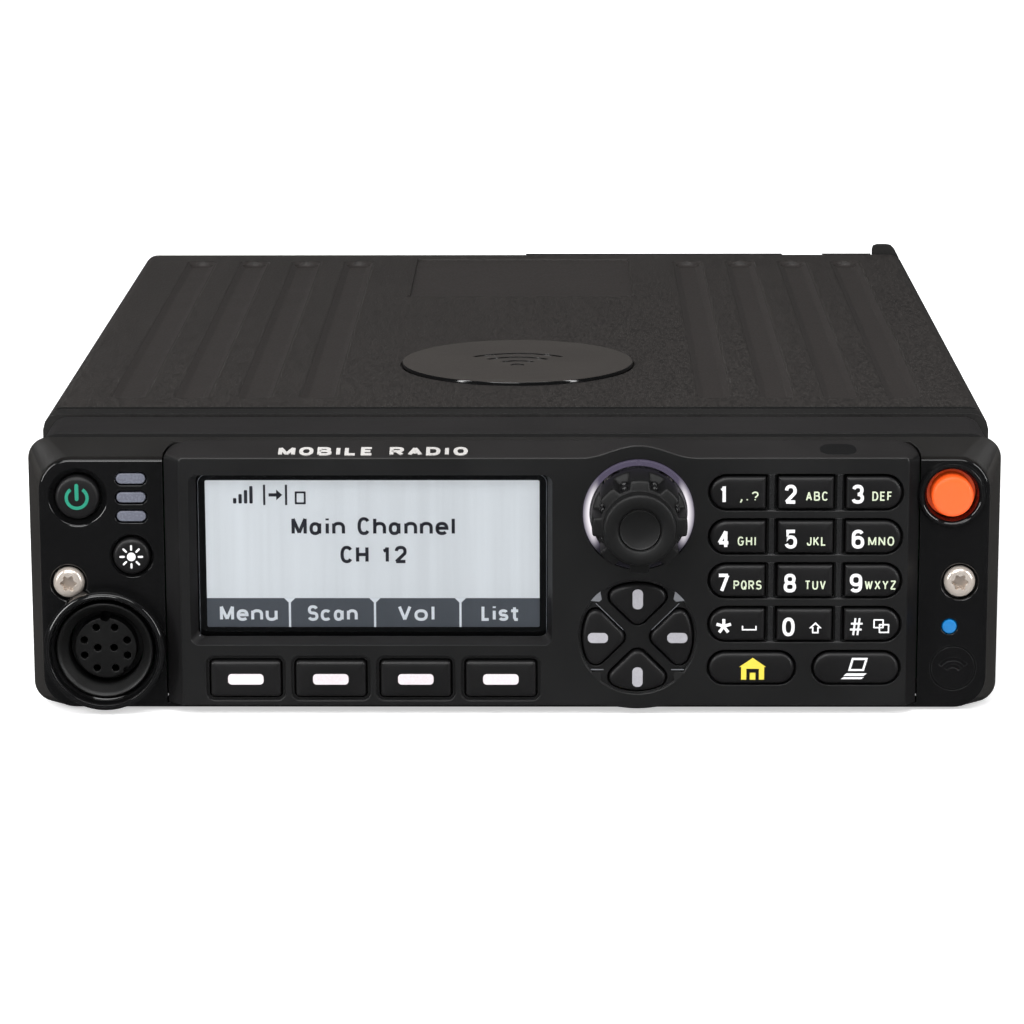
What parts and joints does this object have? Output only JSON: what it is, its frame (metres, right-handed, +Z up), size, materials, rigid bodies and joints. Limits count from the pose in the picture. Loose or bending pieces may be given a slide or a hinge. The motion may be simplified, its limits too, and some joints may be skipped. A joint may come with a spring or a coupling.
{
  "type": "vehicle two-way radio",
  "caption": "Dash-mount two-way radio: finned casting with top cover, and a control head with display, keypad, navigation pad, push-and-turn knob and microphone socket.",
  "frame": {"origin": "centre of the underside, halfway between the face of the control head's wings and the back of the rear fins", "axes": "+Z up, +Y from the front face to the rear, +X to the user's right"},
  "size_m": [0.1786, 0.246, 0.0529],
  "materials": {
    "black_casting": "black-coated die casting, satin",
    "textured_black": "fine texture, charcoal",
    "satin_black": "satin",
    "gloss_black": "high gloss",
    "fascia_black": "satin",
    "keycap": "soft-touch coat",
    "knob_rubber": "moulded rubber",
    "black_rubber": "moulded rubber",
    "silicone": "translucent grey silicone",
    "emergency_orange": "satin",
    "dot_blue": "satin",
    "stainless_steel": "polished",
    "nickel": "nickel plate",
    "tinned_steel": "tin plate",
    "clear_lens": "clear hard-coated acrylic",
    "display_grey": "lit liquid-crystal display",
    "light_pipe": "frosted clear",
    "circuit_board": "green solder mask",
    "ceramic": "matt",
    "flex_amber": "polyimide film"
  },
  "bodies": {
    "radio": {"front_housing": "gloss_black", "centre_fascia": "fascia_black", "indicator_light_pipe": "light_pipe", "display_lens": "clear_lens", "lcd_module": "display_grey", "keypad_mat": "silicone", "knob_light_ring": "light_pipe", "encoder_body": "nickel", "microphone_socket": "satin_black", "socket_insert": "black_rubber", "front_screw_left": "stainless_steel", "front_screw_right": "stainless_steel", "id_dot": "dot_blue", "head_board": "circuit_board", "interface_board": "circuit_board", "head_rear_housing": "satin_black", "head_gasket": "black_rubber", "chassis": "black_casting", "antenna_connector": "nickel", "gps_connector": "nickel", "power_connector": "satin_black", "accessory_connector": "satin_black", "top_cover": "textured_black", "cover_badge": "gloss_black", "main_board": "circuit_board", "rf_shield": "tinned_steel", "logic_shield": "tinned_steel", "thermal_pad": "silicone", "power_amplifier": "ceramic", "interconnect_flex": "flex_amber"},
    "encoder_rotor": {"encoder_rotor": "ceramic"},
    "knob": {"multifunction_knob": "knob_rubber", "encoder_shaft": "nickel"},
    "soft_key_1": {"soft_key_1": "keycap"},
    "soft_key_2": {"soft_key_2": "keycap"},
    "soft_key_3": {"soft_key_3": "keycap"},
    "soft_key_4": {"soft_key_4": "keycap"},
    "nav_up": {"nav_up": "keycap"},
    "nav_down": {"nav_down": "keycap"},
    "nav_left": {"nav_left": "keycap"},
    "nav_right": {"nav_right": "keycap"},
    "key_1": {"key_1": "keycap"},
    "key_2": {"key_2": "keycap"},
    "key_3": {"key_3": "keycap"},
    "key_4": {"key_4": "keycap"},
    "key_5": {"key_5": "keycap"},
    "key_6": {"key_6": "keycap"},
    "key_7": {"key_7": "keycap"},
    "key_8": {"key_8": "keycap"},
    "key_9": {"key_9": "keycap"},
    "key_star": {"key_star": "keycap"},
    "key_0": {"key_0": "keycap"},
    "key_hash": {"key_hash": "keycap"},
    "home_key": {"home_key": "keycap"},
    "data_key": {"data_key": "keycap"},
    "power_button": {"power_button": "keycap"},
    "dimmer_button": {"dimmer_button": "keycap"},
    "emergency_button": {"emergency_button": "emergency_orange"}
  },
  "joints": [
    {"name": "knob_spin", "type": "hinge", "parent": "radio", "child": "encoder_rotor", "pos_m": [0.0227, -0.109, 0.0377], "axis": [0, 1, 0], "continuous": true},
    {"name": "knob_press", "type": "slide", "parent": "encoder_rotor", "child": "knob", "axis": [0, 1, 0], "range_m": [0, 0.0005]},
    {"name": "soft_key_1_press", "type": "slide", "parent": "radio", "child": "soft_key_1", "axis": [0, 1, 0], "range_m": [0, 0.0008]},
    {"name": "soft_key_2_press", "type": "slide", "parent": "radio", "child": "soft_key_2", "axis": [0, 1, 0], "range_m": [0, 0.0008]},
    {"name": "soft_key_3_press", "type": "slide", "parent": "radio", "child": "soft_key_3", "axis": [0, 1, 0], "range_m": [0, 0.0008]},
    {"name": "soft_key_4_press", "type": "slide", "parent": "radio", "child": "soft_key_4", "axis": [0, 1, 0], "range_m": [0, 0.0008]},
    {"name": "nav_up_press", "type": "slide", "parent": "radio", "child": "nav_up", "axis": [0, 1, 0], "range_m": [0, 0.0008]},
    {"name": "nav_down_press", "type": "slide", "parent": "radio", "child": "nav_down", "axis": [0, 1, 0], "range_m": [0, 0.0008]},
    {"name": "nav_left_press", "type": "slide", "parent": "radio", "child": "nav_left", "axis": [0, 1, 0], "range_m": [0, 0.0008]},
    {"name": "nav_right_press", "type": "slide", "parent": "radio", "child": "nav_right", "axis": [0, 1, 0], "range_m": [0, 0.0008]},
    {"name": "key_1_press", "type": "slide", "parent": "radio", "child": "key_1", "axis": [0, 1, 0], "range_m": [0, 0.0008]},
    {"name": "key_2_press", "type": "slide", "parent": "radio", "child": "key_2", "axis": [0, 1, 0], "range_m": [0, 0.0008]},
    {"name": "key_3_press", "type": "slide", "parent": "radio", "child": "key_3", "axis": [0, 1, 0], "range_m": [0, 0.0008]},
    {"name": "key_4_press", "type": "slide", "parent": "radio", "child": "key_4", "axis": [0, 1, 0], "range_m": [0, 0.0008]},
    {"name": "key_5_press", "type": "slide", "parent": "radio", "child": "key_5", "axis": [0, 1, 0], "range_m": [0, 0.0008]},
    {"name": "key_6_press", "type": "slide", "parent": "radio", "child": "key_6", "axis": [0, 1, 0], "range_m": [0, 0.0008]},
    {"name": "key_7_press", "type": "slide", "parent": "radio", "child": "key_7", "axis": [0, 1, 0], "range_m": [0, 0.0008]},
    {"name": "key_8_press", "type": "slide", "parent": "radio", "child": "key_8", "axis": [0, 1, 0], "range_m": [0, 0.0008]},
    {"name": "key_9_press", "type": "slide", "parent": "radio", "child": "key_9", "axis": [0, 1, 0], "range_m": [0, 0.0008]},
    {"name": "key_star_press", "type": "slide", "parent": "radio", "child": "key_star", "axis": [0, 1, 0], "range_m": [0, 0.0008]},
    {"name": "key_0_press", "type": "slide", "parent": "radio", "child": "key_0", "axis": [0, 1, 0], "range_m": [0, 0.0008]},
    {"name": "key_hash_press", "type": "slide", "parent": "radio", "child": "key_hash", "axis": [0, 1, 0], "range_m": [0, 0.0008]},
    {"name": "home_key_press", "type": "slide", "parent": "radio", "child": "home_key", "axis": [0, 1, 0], "range_m": [0, 0.0008]},
    {"name": "data_key_press", "type": "slide", "parent": "radio", "child": "data_key", "axis": [0, 1, 0], "range_m": [0, 0.0008]},
    {"name": "power_button_press", "type": "slide", "parent": "radio", "child": "power_button", "axis": [0, 1, 0], "range_m": [0, 0.0008]},
    {"name": "dimmer_button_press", "type": "slide", "parent": "radio", "child": "dimmer_button", "axis": [0, 1, 0], "range_m": [0, 0.0008]},
    {"name": "emergency_button_press", "type": "slide", "parent": "radio", "child": "emergency_button", "axis": [0, 1, 0], "range_m": [0, 0.001]}
  ]
}
